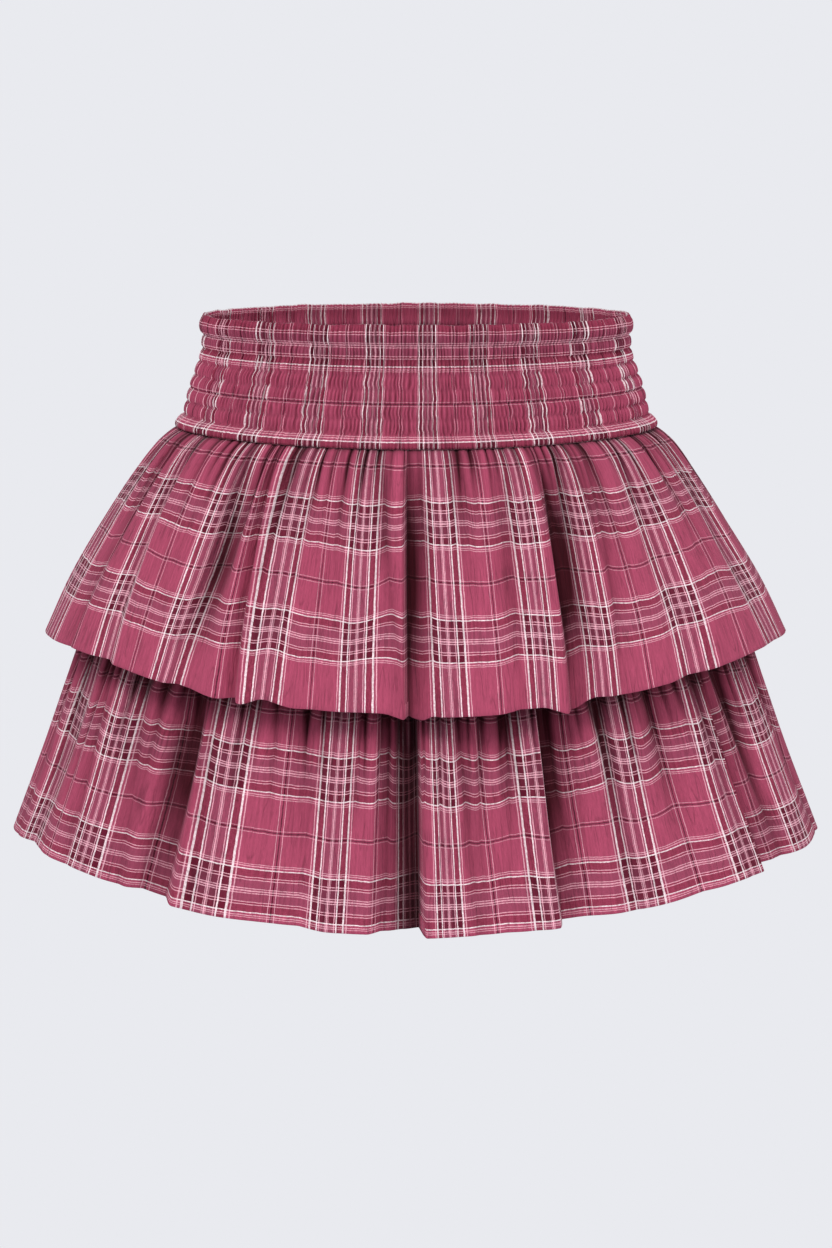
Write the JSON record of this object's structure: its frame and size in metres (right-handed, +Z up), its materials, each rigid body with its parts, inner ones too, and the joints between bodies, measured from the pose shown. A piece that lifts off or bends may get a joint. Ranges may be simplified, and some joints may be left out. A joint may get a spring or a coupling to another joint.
{
  "type": "tiered_ruffle_skirt",
  "caption": "Short tiered ruffle skirt in rose check cotton with a wide shirred elastic waistband, held open in its worn shape",
  "frame": {"origin": "centre of the waist opening, halfway down the waistband, where a waist or a stand holds the skirt", "axes": "+X to a viewer's right, -Y the front of the skirt, +Z up"},
  "size_m": [0.524, 0.3674, 0.3669],
  "materials": {
    "waistband_cloth": "matte",
    "tier_cloth": "matte",
    "yoke_cloth": "matte"
  },
  "bodies": {
    "root": {"waistband_front": "waistband_cloth", "waistband_back": "waistband_cloth", "upper_tier_front": "tier_cloth", "upper_tier_back": "tier_cloth", "lower_tier_front": "tier_cloth", "lower_tier_back": "tier_cloth", "yoke_front": "yoke_cloth", "yoke_back": "yoke_cloth"}
  },
  "joints": []
}
